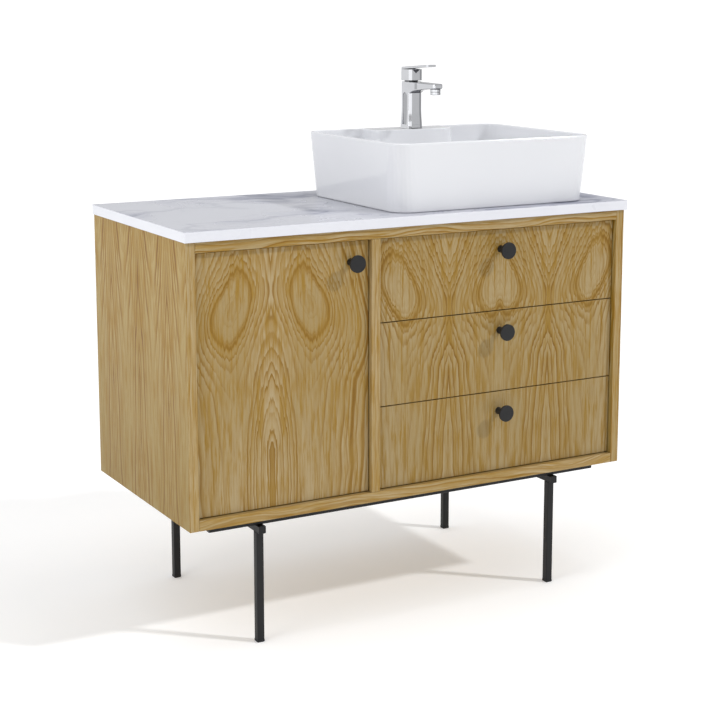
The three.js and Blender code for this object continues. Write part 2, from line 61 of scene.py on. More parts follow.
# ---------------------------------------------------------------- camera, light and floor

CAMERA_PLACE = (-1.636, -2.908, 1.222)
CAMERA_YAW = -0.5097
CAMERA_TILT = math.radians(-9.44)
LENS = 81.46
SHIFT = -0.12


def make_camera():
    data = bpy.data.cameras.new("camera")
    data.lens = LENS
    data.sensor_width = 36.0
    data.shift_y = SHIFT
    camera = bpy.data.objects.new("camera", data)
    camera.location = CAMERA_PLACE
    camera.rotation_euler = (math.pi / 2 + CAMERA_TILT, 0.0, CAMERA_YAW)
    bpy.context.scene.collection.objects.link(camera)
    bpy.context.scene.camera = camera


def area_light(name, place, target, size, power, colour=(1.0, 1.0, 1.0)):
    data = bpy.data.lights.new(name, "AREA")
    data.shape = "RECTANGLE"
    data.size, data.size_y = size
    data.energy = power
    data.color = colour
    light = bpy.data.objects.new(name, data)
    light.location = place
    light.rotation_euler = (Vector(target) - Vector(place)).to_track_quat("-Z", "Y").to_euler()
    bpy.context.scene.collection.objects.link(light)


def sun_light(name, direction, strength, angle):
    data = bpy.data.lights.new(name, "SUN")
    data.energy = strength
    data.angle = angle
    light = bpy.data.objects.new(name, data)
    light.rotation_euler = (-Vector(direction)).to_track_quat("-Z", "Y").to_euler()
    bpy.context.scene.collection.objects.link(light)


def studio_light():
    world = bpy.data.worlds.new("studio")
    bpy.context.scene.world = world
    world.use_nodes = True
    background = world.node_tree.nodes["Background"]
    tree = world.node_tree
    way = tree.nodes.new("ShaderNodeTexCoord").outputs["Generated"]

    def cosine(direction, low, high, dark, light):
        """Brightness that goes from dark to light towards a direction."""
        dot = tree.nodes.new("ShaderNodeVectorMath")
        dot.operation = "DOT_PRODUCT"
        tree.links.new(way, dot.inputs[0])
        dot.inputs[1].default_value = Vector(direction).normalized()
        ease = tree.nodes.new("ShaderNodeMapRange")
        ease.interpolation_type = "SMOOTHSTEP"
        tree.links.new(dot.outputs["Value"], ease.inputs["Value"])
        for socket, value in zip(ease.inputs[1:5], (low, high, dark, light)):
            socket.default_value = value
        return ease.outputs[0]

    lights = [
        cosine((-1.0, 0.1, 0.55), -0.3, 0.9, 0.55, 0.88),
        cosine((0.45, -1.0, 0.1), 0.1, 0.95, 1.0, 0.54),
        cosine((0.0, 0.0, 1.0), 0.2, 1.0, 1.0, 1.15),
        cosine((0.515, -0.857, -0.05), 0.93, 0.975, 1.0, 0.50),
        cosine((-0.62, -0.78, 0.0), 0.96, 0.985, 1.0, 0.35),
    ]
    strength = lights[0]
    for light in lights[1:]:
        both = tree.nodes.new("ShaderNodeMath")
        both.operation = "MULTIPLY"
        tree.links.new(strength, both.inputs[0])
        tree.links.new(light, both.inputs[1])
        strength = both.outputs[0]
    path = tree.nodes.new("ShaderNodeLightPath")
    seen = tree.nodes.new("ShaderNodeMix")
    tree.links.new(path.outputs["Is Camera Ray"], seen.inputs[0])
    tree.links.new(strength, seen.inputs[2])
    seen.inputs[3].default_value = 1.0
    tree.links.new(seen.outputs[0], background.inputs["Strength"])
    background.inputs["Color"].default_value = (0.985, 0.99, 1.0, 1.0)
    area_light("left_window", (-3.2, -1.0, 1.9), (0.0, 0.0, 0.7), (1.2, 2.0), 18.0)
    area_light("corner_strip", (-2.95, -1.55, 0.80), (0.0, -0.2, 0.80), (0.08, 1.5), 0.8)
    area_light("overhead", (0.25, -0.25, 2.45), (0.2, 0.0, 0.9), (0.9, 0.7), 7.0)
    sun_light("key", (0.579, -0.525, 0.623), 1.35, math.radians(3.6))


# ---------------------------------------------------------------- materials


def srgb(red, green, blue):
    """A linear colour from the 0 to 255 values it shows as."""
    def linear(value):
        value /= 255
        return value / 12.92 if value <= 0.04045 else ((value + 0.055) / 1.055) ** 2.4

    return (linear(red), linear(green), linear(blue), 1.0)


class Finish:
    """One node material, with short names for the nodes it is made of."""

    def __init__(self, name, **sockets):
        self.material = bpy.data.materials.new(name)
        self.material.use_nodes = True
        self.tree = self.material.node_tree
        self.surface = self.tree.nodes["Principled BSDF"]
        for socket, value in sockets.items():
            self.surface.inputs[socket.replace("_", " ")].default_value = value
        self.place = self.node("TexCoord").outputs["Object"]

    def node(self, kind, inputs=None, **settings):
        made = self.tree.nodes.new("ShaderNode" + kind)
        for key, value in settings.items():
            setattr(made, key, value)
        for key, value in (inputs or {}).items():
            if isinstance(value, bpy.types.NodeSocket):
                self.tree.links.new(value, made.inputs[key])
            else:
                made.inputs[key].default_value = value
        return made

    def math(self, operation, *values, clamp=False):
        inputs = dict(enumerate(values))
        return self.node("Math", inputs, operation=operation, use_clamp=clamp).outputs[0]

    def add(self, a, b):
        return self.math("ADD", a, b)

    def times(self, a, b):
        return self.math("MULTIPLY", a, b)

    def split(self, vector):
        return self.node("SeparateXYZ", {"Vector": vector}).outputs[:]

    def join(self, x=0.0, y=0.0, z=0.0):
        return self.node("CombineXYZ", {"X": x, "Y": y, "Z": z}).outputs[0]

    def stretch(self, vector, x, y, z):
        """Scales a place so that noise comes out longer or shorter along each axis."""
        inputs = {"Vector": vector, "Scale": (x, y, z)}
        return self.node("Mapping", inputs).outputs[0]

    def noise(self, vector, scale=1.0, detail=2.0, roughness=0.5, distortion=0.0):
        inputs = {
            "Vector": vector,
            "Scale": scale,
            "Detail": detail,
            "Roughness": roughness,
            "Distortion": distortion,
        }
        return self.node("TexNoise", inputs).outputs[0]

    def spread(self, value, low, high, to_low=0.0, to_high=1.0, smooth=False):
        """Maps a value from one range to another, held at its ends."""
        kind = "SMOOTHSTEP" if smooth else "LINEAR"
        inputs = {
            "Value": value,
            "From Min": low,
            "From Max": high,
            "To Min": to_low,
            "To Max": to_high,
        }
        return self.node("MapRange", inputs, interpolation_type=kind).outputs[0]

    def mix(self, share, a, b, blend="MIX"):
        inputs = {0: share, 6: a, 7: b}
        return self.node("Mix", inputs, data_type="RGBA", blend_type=blend).outputs[2]

    def colour(self, value):
        self.set("Base Color", value)

    def set(self, socket, value):
        self.tree.links.new(value, self.surface.inputs[socket])

    def bump(self, height, distance, strength=1.0):
        inputs = {"Strength": strength, "Distance": distance, "Height": height}
        made = self.node("Bump", inputs)
        self.set("Normal", made.outputs[0])


OAK_LIGHT = srgb(184, 165, 126)
OAK_MID = srgb(169, 148, 103)
OAK_LINE = srgb(124, 84, 14)
OAK_STREAK = srgb(156, 121, 42)
OAK_GOLD = srgb(172, 148, 60)
# Painted shade: the dark colour the oak is mixed with towards its foot.
OAK_PAINTED_SHADE = srgb(64, 52, 16)
OAK_PORE = srgb(100, 68, 24)
RING_GAP = 0.0092


def cone_depth(m, v, rise):
    """How deep the leaf cuts past a growth cone, at a distance v along the grain from its tip."""
    def side(width, limit, slope):
        reach = m.math("ABSOLUTE", v)
        bell = m.math("EXPONENT", m.times(m.math("POWER", m.times(reach, 1 / width), 1.3), -1.0))
        return m.times(m.add(m.times(reach, slope), limit), m.add(m.times(bell, -1.0), 1.0))

    above = m.math("GREATER_THAN", v, 0.0)
    up, down = side(*rise["above"]), side(*rise["below"])
    return m.add(m.times(up, above), m.times(down, m.add(m.times(above, -1.0), 1.0)))


def length(m, a, b, power=1.6):
    """The length of (a, b) in a norm between a circle's and a diamond's."""
    a, b = (m.math("POWER", m.math("ABSOLUTE", side), power) for side in (a, b))
    return m.math("POWER", m.add(a, b), 1 / power)


def oak(name, across, along, figure=None, seed=0.0):
    """Oak veneer. across and along give the place on the leaf, in metres. figure describes the closed
    loops of a flat-cut leaf and the painted shade towards the foot; without it the grain is straight
    and no shade is painted."""
    m = Finish(name, Roughness=0.42, Specular_IOR_Level=0.22)
    x, y, z = m.split(m.place)
    t, s = across(m, x, y, z), along(m, x, y, z)
    flat = m.join(t, s, seed)
    drift = m.add(m.noise(m.stretch(flat, 11.0, 5.0, 1.0), detail=2.0), -0.5)
    fray = m.add(m.noise(m.stretch(flat, 150.0, 8.0, 1.0), detail=3.0, roughness=0.6), -0.5)
    wander = m.add(m.noise(m.stretch(flat, 42.0, 11.0, 1.0), detail=2.0), -0.5)
    ring = m.add(m.add(t, m.times(drift, 0.020)), m.times(wander, 0.010))
    crossing = 1.0
    if figure:
        centre, height = figure["eye"]
        v = m.add(m.add(s, -height), m.times(fray, 0.034))
        lean = m.times(m.add(s, -height), -figure["lean"])
        off = m.add(m.add(ring, -centre), m.times(lean, m.spread(v, -0.16, -0.04)))
        v = m.add(v, m.times(off, -figure["slant"]))
        ring = loop = length(m, off, cone_depth(m, v, figure))
        along_it = m.math("DIVIDE", m.math("ABSOLUTE", off), loop)
        aside = m.spread(along_it, 0.1, 0.75, 0.12, 1.0)
        crossing = m.math("MAXIMUM", aside, m.spread(v, -0.15, -0.07))
        if "seam" in figure:
            seam, foot, start, slope = figure["seam"]
            fall = m.math("MAXIMUM", m.add(m.add(s, -foot), m.times(fray, 0.04)), 0.0)
            off = m.times(m.add(m.add(t, m.times(m.add(drift, wander), 0.010)), -seam), 1.35)
            valley = length(m, off, m.add(m.times(fall, slope), start))
            ring = m.math("SMOOTH_MIN", ring, valley, 0.012)
            crossing = m.math("MAXIMUM", crossing, m.math("LESS_THAN", valley, loop))
    ring = m.add(ring, m.times(fray, 0.0016))
    uneven = m.noise(m.join(m.times(ring, 75.0), 0.0, seed + 9.0), detail=1.0)
    phase = m.add(m.times(ring, 1 / RING_GAP), m.times(uneven, 1.9))
    turn = m.math("FRACT", phase)
    order = m.math("FLOOR", phase)
    own = m.node("TexWhiteNoise", {"W": m.add(order, seed)}, noise_dimensions="1D").outputs[0]
    own = m.times(m.spread(own, 0.0, 1.0, 0.30, 1.0), crossing)
    fall = m.spread(turn, 0.88, 1.0, 1.0, 0.0, smooth=True)
    line = m.times(m.times(m.spread(turn, 0.50, 0.86, smooth=True), fall), own)
    glow = m.times(m.times(m.spread(turn, 0.05, 0.85, smooth=True), fall), own)
    fade = m.noise(m.stretch(flat, 34.0, 9.0, 1.0), detail=1.0)
    line = m.times(line, m.spread(fade, 0.35, 0.62, 0.25, 1.0))
    if figure:
        line, glow = m.times(line, figure["ink"]), m.times(glow, figure["ink"])
        core = m.spread(loop, 0.026, 0.036, 0.22, 1.0)
        line, glow = m.times(line, core), m.times(glow, core)
        rim = m.add(loop, -figure["rim"])
        rising = m.spread(rim, -0.0045, 0.0, smooth=True)
        rim_line = m.times(rising, m.spread(rim, 0.0008, 0.002, 1.0, 0.0))
        rim_glow = m.times(m.spread(rim, -0.011, -0.001), m.spread(rim, 0.001, 0.006, 1.0, 0.0))
        line = m.math("MAXIMUM", line, m.times(rim_line, m.spread(fade, 0.35, 0.6, 0.45, 0.9)))
        glow = m.math("MAXIMUM", glow, rim_glow)
    fibre = m.noise(m.stretch(flat, 900.0, 14.0, 1.0), detail=3.0, roughness=0.65)
    streak = m.noise(m.stretch(flat, 250.0, 15.0, 1.0), detail=3.0, roughness=0.6)
    streak = m.spread(streak, 0.44, 0.62, smooth=True)
    broad = m.noise(m.stretch(flat, 105.0, 7.5, 1.0), detail=4.0, roughness=0.6)
    broad = m.spread(broad, 0.49, 0.66, smooth=True)
    patch = m.noise(m.stretch(flat, 70.0, 9.0, 1.0), detail=2.0)
    streak = m.times(streak, m.spread(patch, 0.42, 0.62, 0.25, 1.0))
    pores = m.noise(m.stretch(flat, 1500.0, 55.0, 1.0), detail=1.0)
    pores = m.spread(pores, 0.58, 0.72, smooth=True)
    pores = m.times(pores, m.spread(line, 0.1, 0.7, 0.25, 1.0))
    tone_and_painted_light = m.noise(m.stretch(flat, 9.0, 2.5, 1.0), detail=2.0)
    wood = m.mix(m.spread(tone_and_painted_light, 0.35, 0.65), OAK_LIGHT, OAK_MID)
    wood = m.mix(figure["gold"] if figure else 0.0, wood, OAK_GOLD)
    wood = m.mix(m.times(streak, 0.85), wood, OAK_STREAK)
    wood = m.mix(m.times(broad, figure["mottle"] if figure else 0.6), wood, OAK_STREAK)
    wood = m.mix(m.times(glow, 0.90), wood, OAK_STREAK)
    wood = m.mix(m.times(line, 0.8), wood, OAK_LINE)
    wood = m.mix(m.spread(fibre, 0.3, 0.75, 0.0, 0.34), wood, OAK_LINE)
    wood = m.mix(m.times(pores, 0.45), wood, OAK_PORE)
    # Painted shade: the oak is mixed with a dark colour, most below 0.25 m and least above 0.80 m,
    # standing in for less light reaching the lower parts.
    top, foot = figure["tone_and_painted_light"] if figure else (1.0, 1.0)
    shade = m.spread(z, 0.25, 0.80, 1.0 - foot, 1.0 - top)
    m.colour(m.mix(shade, wood, OAK_PAINTED_SHADE))
    m.set("Roughness", m.spread(fibre, 0.2, 0.8, 0.38, 0.52))
    m.bump(m.add(m.times(pores, -1.0), m.times(fibre, 0.4)), 0.00012, 0.6)
    return m.material


def board(name):
    """The pale wood-grain board of shelf, back and drawer boxes."""
    m = Finish(name, Roughness=0.5)
    grain = m.noise(m.stretch(m.place, 6.0, 60.0, 260.0), detail=4.0, roughness=0.6)
    wave = m.noise(m.stretch(m.place, 3.0, 9.0, 22.0), detail=2.0)
    base = m.mix(m.spread(grain, 0.3, 0.7), srgb(206, 186, 150), srgb(186, 160, 118))
    m.colour(m.mix(m.spread(wave, 0.4, 0.7, 0.0, 0.35), base, srgb(168, 140, 98)))
    m.set("Roughness", m.spread(grain, 0.2, 0.8, 0.42, 0.58))
    m.bump(grain, 0.00015, 0.4)
    return m.material


def marble():
    """Stone-look top: soft grey clouds and thin branching blue-grey veins."""
    m = Finish("stone_top", Roughness=0.3, Specular_IOR_Level=0.3)
    warp = m.node("TexNoise", {"Vector": m.place, "Scale": 4.0, "Detail": 5.0}).outputs[1]
    bent = m.node("VectorMath", {0: warp, 1: (0.20, 0.20, 0.20)}, operation="MULTIPLY").outputs[0]
    moved = m.node("VectorMath", {0: m.place, 1: (-0.17, 0.0, 0.0)}, operation="ADD").outputs[0]
    bent = m.node("VectorMath", {0: moved, 1: bent}, operation="ADD").outputs[0]

    def vein(scale, sharpness, detail, turn):
        inputs = {"Vector": bent, "Rotation": (0.0, 0.0, turn), "Scale": (1.0, 2.2, 1.0)}
        ridge = m.noise(m.node("Mapping", inputs).outputs[0], scale, detail, 0.5)
        ridge = m.math("ABSOLUTE", m.add(ridge, -0.5))
        return m.spread(ridge, 0.0, sharpness, 1.0, 0.0, smooth=True)

    cloud = m.spread(m.noise(bent, 2.6, 3.0), 0.44, 0.62, smooth=True)
    bold = m.times(vein(1.7, 0.020, 4.0, 0.5), m.spread(cloud, 0.0, 1.0, 0.25, 1.0))
    halo = m.times(vein(1.7, 0.085, 4.0, 0.5), cloud)
    fine = m.times(vein(4.0, 0.010, 6.0, 1.0), m.spread(cloud, 0.0, 1.0, 0.1, 0.9))
    base = m.mix(m.times(cloud, 0.7), srgb(193, 194, 201), srgb(182, 183, 192))
    base = m.mix(m.times(halo, 0.50), base, srgb(142, 145, 163))
    base = m.mix(m.times(fine, 0.8), base, srgb(116, 120, 140))
    m.colour(m.mix(m.times(bold, 0.8), base, srgb(98, 103, 126)))
    m.set("Roughness", m.spread(cloud, 0.0, 1.0, 0.26, 0.34))
    m.bump(m.noise(m.place, 40.0, 3.0), 0.0001, 0.15)
    return m.material


def stone_edge():
    """The slab's plain white edges."""
    m = Finish("stone_edge", Roughness=0.3)
    cloud = m.noise(m.place, 12.0, 3.0)
    m.colour(m.mix(cloud, srgb(218, 219, 226), srgb(226, 227, 232)))
    m.set("Roughness", m.spread(cloud, 0.3, 0.7, 0.26, 0.36))
    m.bump(m.noise(m.place, 300.0, 2.0), 0.00005, 0.3)
    return m.material


def ceramic():
    """Glazed white ceramic, very slightly uneven as a fired glaze is."""
    m = Finish("ceramic", Roughness=0.05, IOR=1.52)
    cloud = m.noise(m.place, 5.0, 3.0)
    m.colour(m.mix(cloud, srgb(221, 222, 226), srgb(226, 227, 230)))
    m.set("Roughness", m.spread(m.noise(m.place, 30.0, 3.0), 0.3, 0.7, 0.03, 0.08))
    m.bump(m.noise(m.place, 14.0, 1.0), 0.0006, 0.12)
    return m.material


def metal(name, colour, darker, roughness, grain, depth):
    """A bare or plated metal, with a fine uneven finish."""
    m = Finish(name, Metallic=1.0)
    wear = m.noise(m.place, 60.0, 4.0, 0.6)
    m.colour(m.mix(wear, colour, darker))
    m.set("Roughness", m.spread(wear, 0.25, 0.75, *roughness))
    m.bump(m.noise(m.place, grain, 2.0), depth, 0.3)
    return m.material


def plated(name, shade=1.0):
    """Polished chrome with painted reflections: each facet is painted lighter or darker by the way it
    faces, as in a studio with dark flags; shade below 1 paints it darker all over (painted shade).
    """
    m = Finish(name, Metallic=1.0)
    facing = m.node("TexCoord", {}).outputs["Normal"]
    x, y = m.split(facing)[:2]

    def towards(direction, low, high):
        unit = Vector(direction).normalized()
        dot = m.node("VectorMath", {0: facing, 1: tuple(unit)}, operation="DOT_PRODUCT")
        return m.spread(dot.outputs["Value"], low, high, smooth=True)

    # Painted reflection: facets turned diagonally in plan are painted lighter.
    corner = m.spread(m.math("ABSOLUTE", m.times(m.times(x, y), 2.0)), 0.45, 0.95, smooth=True)
    tone_and_painted_light = m.spread(corner, 0.0, 1.0, 0.62, 0.92)
    # Painted reflections and shade: facets turned towards each listed direction are painted to its
    # level, darker facing down, right-front and right-back, lighter facing up and left-front.
    for direction, low, high, level in (
        ((0.71, -0.71, 0.0), 0.80, 0.97, 0.40),
        ((-0.38, -0.925, 0.0), 0.955, 0.995, 0.90),
        ((0.38, -0.925, 0.0), 0.955, 0.995, 0.24),
        ((0.0, -1.0, 0.0), 0.975, 0.998, 0.44),
        ((0.71, 0.71, 0.0), 0.80, 0.97, 0.34),
        ((0.0, 0.0, -1.0), 0.30, 0.85, 0.20),
        ((0.0, 0.0, 1.0), 0.60, 0.95, 0.60),
    ):
        share = towards(direction, low, high)
        tone_and_painted_light = m.add(m.times(tone_and_painted_light, m.add(m.times(share, -1.0), 1.0)), m.times(share, level))
    wear = m.noise(m.place, 60.0, 4.0, 0.6)
    # The shade factor paints this chrome darker all over: painted shade for the recess copy.
    tone_and_painted_light = m.times(tone_and_painted_light, m.spread(wear, 0.3, 0.7, 0.96 * shade, shade))
    m.colour(m.mix(tone_and_painted_light, (0.015, 0.016, 0.02, 1.0), (0.93, 0.94, 0.97, 1.0)))
    m.set("Roughness", m.spread(wear, 0.25, 0.75, 0.04, 0.09))
    m.bump(m.noise(m.place, 400.0, 2.0), 0.00002, 0.3)
    return m.material


def coated(name, colour, paler, roughness, grain, depth):
    """A painted or moulded surface, with a fine skin texture."""
    m = Finish(name, Specular_IOR_Level=0.3)
    skin = m.noise(m.place, grain, 2.0, 0.6)
    dust = m.noise(m.place, 25.0, 4.0, 0.6)
    m.colour(m.mix(m.spread(dust, 0.35, 0.75), colour, paler))
    m.set("Roughness", m.spread(dust, 0.25, 0.75, *roughness))
    m.bump(skin, depth, 0.5)
    return m.material


# ---------------------------------------------------------------- mesh helpers


def new_piece(name, mesh, slot, *nodes):
    """Puts a mesh in the scene as the piece that stands for these CAD nodes."""
    piece = bpy.data.objects.new(name, mesh)
    bpy.context.scene.collection.objects.link(piece)
    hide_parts(*nodes)
    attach(piece, BODY_OF[nodes[0]])
    return piece


def cad_copy(node):
    """The node's shape as a clean bmesh: welded, with flat faces made whole."""
    bm = bmesh.new()
    bm.from_mesh(NODES[node].data)
    bmesh.ops.remove_doubles(bm, verts=bm.verts[:], dist=0.00002)
    bmesh.ops.dissolve_limit(
        bm, angle_limit=math.radians(0.6), verts=bm.verts[:], edges=bm.edges[:]
    )
    return bm


def round_edges(bm, width, segments=3, sharper=50.0, longer=0.0):
    """Rounds the edges that turn by more than an angle, in degrees."""
    sharp = [
        edge
        for edge in bm.edges
        if len(edge.link_faces) == 2
        and edge.calc_face_angle(0.0) > math.radians(sharper)
        and edge.calc_length() > longer
    ]
    bmesh.ops.bevel(
        bm, geom=sharp, offset=width, segments=segments, profile=0.5, affect="EDGES",
        clamp_overlap=True,
    )


def finished(bm, name, smooth_below=35.0):
    """Turns a bmesh into a mesh that is shaded smooth across its rounded edges."""
    mesh = bpy.data.meshes.new(name)
    for face in bm.faces:
        face.smooth = True
    bm.to_mesh(mesh)
    bm.free()
    mesh.set_sharp_from_angle(angle=math.radians(smooth_below))
    return mesh


def softened(node, slot, material, width=0.0005, name=None, **rounding):
    """The CAD node's own shape with rounded edges, as a piece in its place."""
    bm = cad_copy(node)
    round_edges(bm, width, **rounding)
    name = name or "soft_" + node
    piece = new_piece(name, finished(bm, name), slot, node)
    piece.data.materials.append(material)
    weighted = piece.modifiers.new("weighted", "WEIGHTED_NORMAL")
    weighted.keep_sharp = True
    return piece


def faced(piece, edge_material, axis):
    """Gives the faces that don't look along the axis a second material."""
    piece.data.materials.append(edge_material)
    for polygon in piece.data.polygons:
        if abs(polygon.normal[axis]) < 0.7:
            polygon.material_index = 1


# ---------------------------------------------------------------- the cabinet


DRAWER_SEAM = 0.1207  # from the bay's centre to the next seam
DOOR_SEAM = 0.1545  # from the door's left edge to its seam
DOOR_LEAF = 0.159
SIDE_LEAF = 0.145
SIDE_START = 1.065  # keeps the leaves' count positive all along the side


def mirrored_drawer_leaf(m, x, y, z):
    """Across the drawer fronts: leaves mirrored about the bay's centre and about their seams."""
    low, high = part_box("drawer_top_front")
    centre = (low.x + high.x) / 2
    return m.math("ABSOLUTE", m.add(m.math("ABSOLUTE", m.add(x, -centre)), -DRAWER_SEAM))


def mirrored_door_leaf(m, x, y, z):
    """Across the door: leaves 159 mm wide, each the mirror of the last."""
    low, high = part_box("door_panel")
    seam = low.x + DOOR_SEAM
    return m.add(m.times(m.math("ABSOLUTE", m.add(x, -seam)), -1.0), DOOR_LEAF)


def mirrored_side_leaf(m, x, y, z):
    """Across the sides: leaves 145 mm wide, each the mirror of the last."""
    return m.math("PINGPONG", m.add(m.add(y, x), SIDE_START), SIDE_LEAF)


DOOR_FIGURE = {
    "eye": (0.080, 0.662),
    "lean": 0.12,
    "slant": 0.38,
    "ink": 1.0,
    "gold": 0.0,
    "mottle": 0.7,
    # painted shade: share of the oak's own colour kept at the top and at the foot
    "tone_and_painted_light": (0.99, 0.87),
    "rim": 0.039,
    "above": (0.078, 0.060, 0.04),
    "below": (0.076, 0.060, 0.05),
    "seam": (DOOR_LEAF, 0.385, 0.004, 0.30),
}
DRAWER_FIGURE = {
    "eye": (0.114, 0.668),
    "lean": 0.16,
    "slant": 0.4,
    "ink": 1.1,
    "gold": 0.05,
    "mottle": 0.75,
    # painted shade: share of the oak's own colour kept at the top and at the foot
    "tone_and_painted_light": (0.94, 0.80),
    "rim": 0.041,
    "above": (0.085, 0.060, 0.14),
    "below": (0.070, 0.060, 0.05),
}
SIDE_FIGURE = {
    "eye": (0.0725, 0.880),
    "lean": 0.0,
    "slant": 0.0,
    "ink": 1.8,
    "gold": 0.38,
    "mottle": 1.0,
    # painted shade: share of the oak's own colour kept at the top and at the foot
    "tone_and_painted_light": (1.0, 0.77),
    "rim": 0.010,
    "above": (0.120, 0.060, 0.0),
    "below": (0.130, 0.046, 0.05),
}


def oak_finishes():
    def upright(m, x, y, z):
        return z

    def sideways(m, x, y, z):
        return x

    def plan(m, x, y, z):
        return m.add(m.add(x, y), 2.0)

    def depth(m, x, y, z):
        slow = m.noise(m.join(m.times(x, 4.0), y, z), detail=1.0)
        return m.add(m.add(y, z), m.add(m.times(slow, 0.07), 2.0))

    return {
        "door": oak("oak_door", mirrored_door_leaf, upright, DOOR_FIGURE, 1.0),
        "drawers": oak("oak_drawers", mirrored_drawer_leaf, upright, DRAWER_FIGURE, 2.0),
        "side": oak("oak_side", mirrored_side_leaf, upright, SIDE_FIGURE, 3.0),
        "upright": oak("oak_upright", plan, upright, None, 4.0),
        "level": oak("oak_level", depth, sideways, None, 5.0),
    }


def cabinet(oaks, pale):
    for side in SIDES:
        piece = softened(f"side_panel_{side}", "oak_veneer", oaks["side"], 0.0006)
        faced(piece, oaks["upright"], 0)
    softened("divider", "oak_veneer", oaks["upright"], 0.0006)
    softened("top_panel", "oak_veneer", oaks["level"], 0.0006, longer=0.03)
    softened("bottom_panel", "oak_veneer", oaks["level"], 0.0006)
    softened("back_panel", "interior_board", pale, 0.0004, longer=0.03)
    softened("shelf", "interior_board", pale, 0.0006)


def fronts(oaks):
    door = softened("door_panel", "oak_veneer", oaks["door"], 0.0008, longer=0.03)
    faced(door, oaks["upright"], 1)
    for drawer in DRAWERS:
        front = softened(f"drawer_{drawer}_front", "oak_veneer", oaks["drawers"], 0.0008)
        faced(front, oaks["upright"], 1)


def drawer_boxes(pale):
    for drawer in DRAWERS:
        for part in ("side_left", "side_right", "back", "bottom"):
            softened(f"drawer_{drawer}_{part}", "interior_board", pale, 0.0005, longer=0.005)


def countertop(stone, edge):
    slab = softened("countertop", "stone_top", stone, 0.0010, longer=0.02)
    faced(slab, edge, 2)


# ---------------------------------------------------------------- basin


FOOT_BAND = 0.0065  # how high the narrower foot reaches
SAME_LEVEL = 0.0002


def basin(glaze):
    """The basin's own shape, drawn smooth all over as a thick glaze leaves it."""
    bm = cad_copy("basin")
    low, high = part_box("basin")
    middle = (low + high) / 2
    foot = [vert for vert in bm.verts if vert.co.z < low.z + FOOT_BAND]

    def span(verts, axis):
        return max(abs(vert.co[axis] - middle[axis]) for vert in verts)

    edge = [span(foot, axis) for axis in (0, 1)]
    growth = {}
    for vert in foot:
        level = [other for other in foot if abs(other.co.z - vert.co.z) < SAME_LEVEL]
        if any(abs(vert.co[axis] - middle[axis]) > 0.3 * edge[axis] for axis in (0, 1)):
            growth[vert] = [edge[axis] / span(level, axis) for axis in (0, 1)]
    for vert, factors in growth.items():
        for axis, factor in enumerate(factors):
            vert.co[axis] = middle[axis] + (vert.co[axis] - middle[axis]) * factor
    mesh = finished(bm, "basin_glazed", 180.0)
    piece = new_piece("basin_glazed", mesh, "ceramic", "basin")
    piece.data.materials.append(glaze)
    remesh = piece.modifiers.new("remesh", "REMESH")
    remesh.mode = "VOXEL"
    remesh.voxel_size = 0.0018
    remesh.use_smooth_shade = True
    smooth = piece.modifiers.new("smooth", "SMOOTH")
    smooth.factor = 0.5
    smooth.iterations = 4


# ---------------------------------------------------------------- tap and waste


def rounded_outline(corners, steps=4):
    """A closed outline of (x, y) points from (x, y, radius) corners, given anticlockwise."""
    points = []
    for index, (x, y, radius) in enumerate(corners):
        here = Vector((x, y))
        before = (Vector(corners[index - 1][:2]) - here).normalized()
        after = (Vector(corners[(index + 1) % len(corners)][:2]) - here).normalized()
        half = before.angle(after) / 2
        centre = here + (before + after).normalized() * radius / math.sin(half)
        start = here + before * radius / math.tan(half) - centre
        end = here + after * radius / math.tan(half) - centre
        turn = math.pi - 2 * half
        for k in range(steps + 1):
            share = k / steps
            weight = math.sin((1 - share) * turn) * start + math.sin(share * turn) * end
            points.append(centre + weight / math.sin(turn))
    return points


def skin(rings):
    """A closed bmesh through rings of points, all with the same number."""
    bm = bmesh.new()
    made = [[bm.verts.new(point) for point in ring] for ring in rings]
    count = len(made[0])
    for low, high in zip(made, made[1:]):
        for k in range(count):
            after = (k + 1) % count
            bm.faces.new((low[k], low[after], high[after], high[k]))
    bm.faces.new(reversed(made[0]))
    bm.faces.new(made[-1])
    bmesh.ops.recalc_face_normals(bm, faces=bm.faces[:])
    return bm


def combined(operation, bm, *others):
    """Joins closed bmeshes into one closed mesh, or cuts the others from the first."""
    scratch = []
    for index, part in enumerate((bm, *others)):
        mesh = bpy.data.meshes.new("scratch")
        part.to_mesh(mesh)
        part.free()
        scratch.append(bpy.data.objects.new(f"scratch_{index}", mesh))
        bpy.context.scene.collection.objects.link(scratch[-1])
    first = scratch[0]
    for other in scratch[1:]:
        join = first.modifiers.new("join", "BOOLEAN")
        join.operation = operation
        join.solver = "EXACT"
        join.object = other
    graph = bpy.context.evaluated_depsgraph_get()
    result = bmesh.new()
    result.from_mesh(first.evaluated_get(graph).to_mesh())
    for scrap in scratch:
        bpy.data.objects.remove(scrap)
    return result


LEVER_REACH = 0.82
RECESS_DEPTH = 0.0031
ARCH_HALF = 0.0088
STRAIGHT = 0.00002  # how far a straight side turns in, so that its middle is still a corner


def tap_section(width, front, back, z, scoop=0.0):
    """The tap's section: flat front, wide chamfers, slightly hollow sides, round back corners."""
    half = width / 2
    chamfer, cut = 0.0068, 0.0028
    hollow = half - (scoop if scoop > 0.0004 else STRAIGHT)
    mid = (front + cut + back) / 2
    outline = rounded_outline([
        (-half + chamfer, front, 0.0025),
        (half - chamfer, front, 0.0025),
        (half, front + cut, 0.0012),
        (hollow, mid, 0.02),
        (half, back, 0.0055),
        (-half, back, 0.0055),
        (-hollow, mid, 0.02),
        (-half, front + cut, 0.0012),
    ])
    return [(point.x, point.y, z) for point in outline]


def eased(value):
    value = min(max(value, 0.0), 1.0)
    return value * value * (3 - 2 * value)


